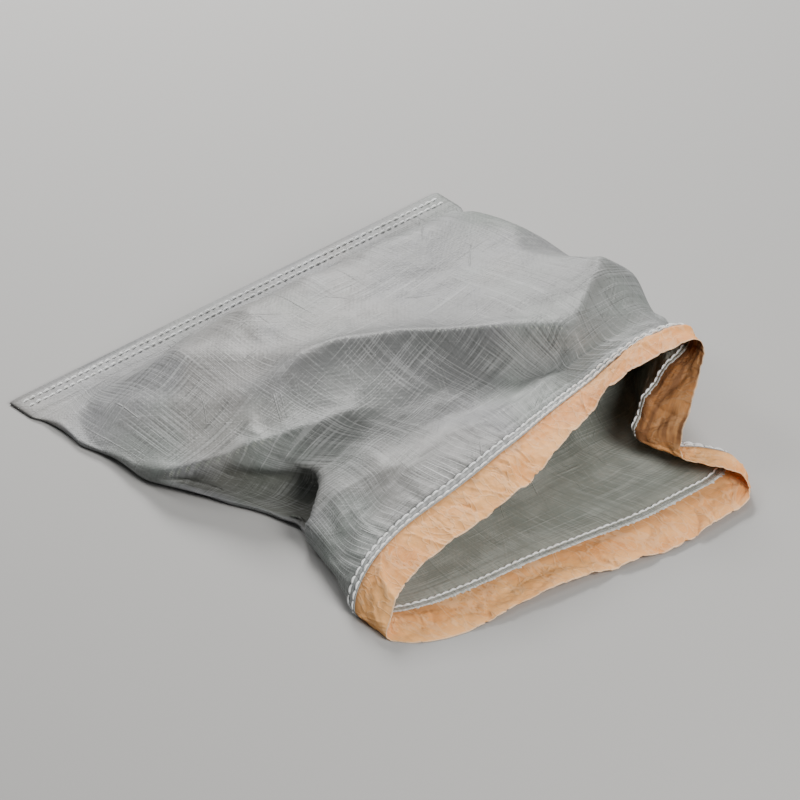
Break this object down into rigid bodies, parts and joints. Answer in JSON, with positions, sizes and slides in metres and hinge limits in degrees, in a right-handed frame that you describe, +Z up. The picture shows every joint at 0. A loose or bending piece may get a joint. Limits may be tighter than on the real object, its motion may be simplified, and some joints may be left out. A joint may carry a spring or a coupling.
{
  "type": "cement bag",
  "caption": "Empty open-mouth woven sack lying on its side, with a kraft paper band round the open mouth and a sewn flat closed end",
  "frame": {"origin": "middle of the bag's footprint, on the floor it lies on", "axes": "+X towards the open mouth, +Y across the bag towards its raised side, +Z up"},
  "size_m": [0.5396, 0.495, 0.0795],
  "materials": {
    "coated_woven_cloth": "semi-matte coated weave",
    "kraft_paper": "matte",
    "white_thread": "matte"
  },
  "bodies": {
    "root": {"bag_cloth": "coated_woven_cloth", "mouth_band": "kraft_paper", "mouth_stitch_front": "white_thread", "mouth_stitch_rear": "white_thread", "mouth_stitch_inner": "white_thread", "end_stitch_outer": "white_thread", "end_stitch_inner": "white_thread"}
  },
  "joints": []
}
